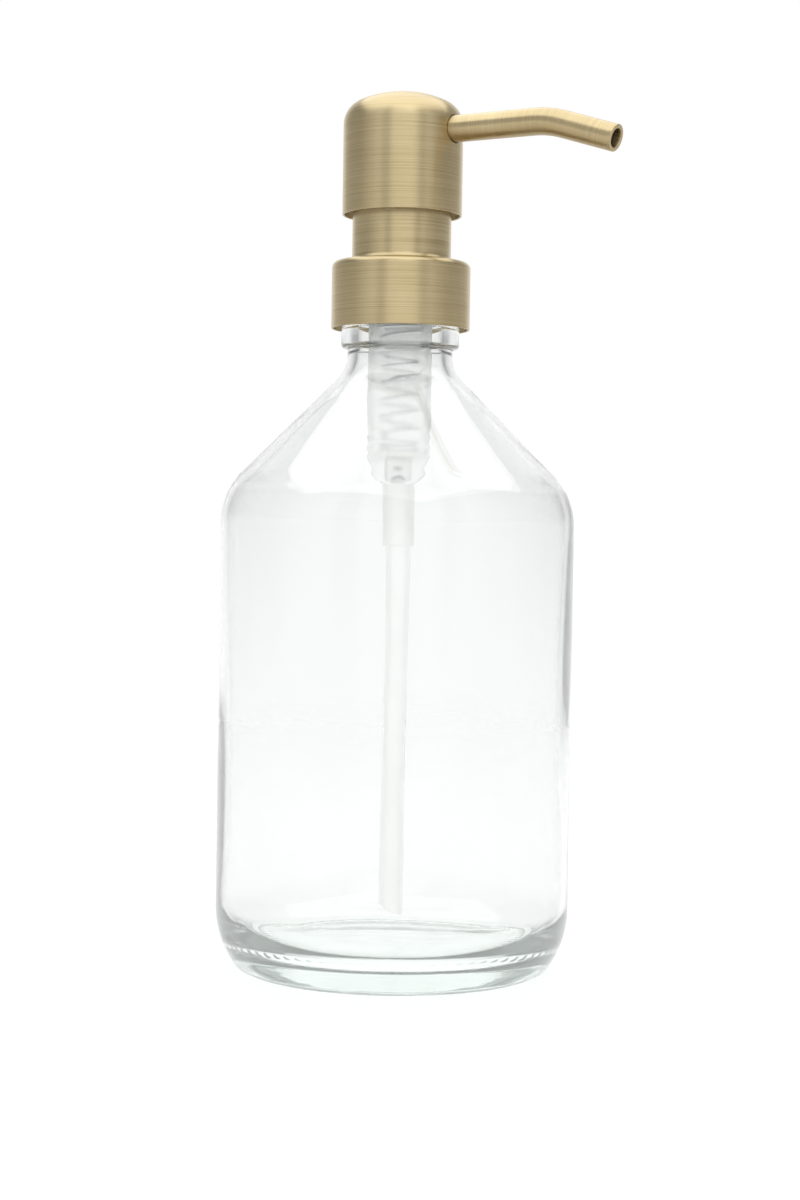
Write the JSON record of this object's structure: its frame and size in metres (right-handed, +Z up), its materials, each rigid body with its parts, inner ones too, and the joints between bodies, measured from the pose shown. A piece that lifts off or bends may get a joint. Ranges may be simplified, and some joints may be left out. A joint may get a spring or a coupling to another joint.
{
  "type": "soap pump dispenser",
  "caption": "Refillable round glass bottle with a screw-on lotion pump: press-down domed metal head with a bent spout, neck sleeve, collar, spring, valves and dip tube.",
  "frame": {"origin": "on the bottle's axis, in the plane the bottle stands on", "axes": "+Z up along the bottle and pump axis, +X along the spout at rest"},
  "size_m": [0.1006, 0.0856, 0.2118],
  "materials": {
    "clear_glass": "polished clear",
    "brushed_brass": "satin, fine brush lines round the axis",
    "white_plastic": "moulded satin",
    "natural_plastic": "translucent, smooth",
    "seal": "soft matt",
    "steel": "smooth"
  },
  "bodies": {
    "bottle": {"glass_bottle": "clear_glass"},
    "pump_unit": {"neck_sleeve": "brushed_brass", "guide_cap": "white_plastic", "pump_housing": "natural_plastic", "neck_gasket": "seal", "dip_tube": "natural_plastic", "ball_retainer": "white_plastic"},
    "collar": {"collar_shell": "brushed_brass", "threaded_closure": "white_plastic"},
    "plunger": {"piston": "white_plastic", "return_spring": "steel"},
    "head": {"head_shell": "brushed_brass", "head_insert": "white_plastic", "upper_stem": "white_plastic", "piston_rod": "white_plastic", "spout_tube": "brushed_brass", "spout_seal": "seal"},
    "inlet_valve": {"inlet_ball": "steel"},
    "outlet_valve": {"outlet_ball": "steel"}
  },
  "joints": [
    {"name": "pump_rise", "type": "slide", "parent": "bottle", "child": "pump_unit", "axis": [0, 0, 1], "range_m": [0, 0.00471]},
    {"name": "collar_unscrew", "type": "hinge", "parent": "pump_unit", "child": "collar", "pos_m": [0, 0, 0.16], "axis": [0, 0, 1], "range_deg": [0, 400]},
    {"name": "head_press", "type": "slide", "parent": "pump_unit", "child": "plunger", "axis": [0, 0, -1], "range_m": [0, 0.011], "stiffness_N_per_m": 600, "springref_m": -0.008, "deforming": ["return_spring"]},
    {"name": "head_swivel", "type": "hinge", "parent": "plunger", "child": "head", "pos_m": [0, 0, 0.19], "axis": [0, 0, 1], "continuous": true},
    {"name": "inlet_ball_lift", "type": "slide", "parent": "pump_unit", "child": "inlet_valve", "axis": [0, 0, 1], "range_m": [0, 0.0014]},
    {"name": "outlet_ball_lift", "type": "slide", "parent": "head", "child": "outlet_valve", "axis": [0, 0, 1], "range_m": [0, 0.0012]}
  ],
  "couplings": [
    {"joint": "pump_rise", "follows": "collar_unscrew", "m_per_rad": 0.0006737}
  ]
}
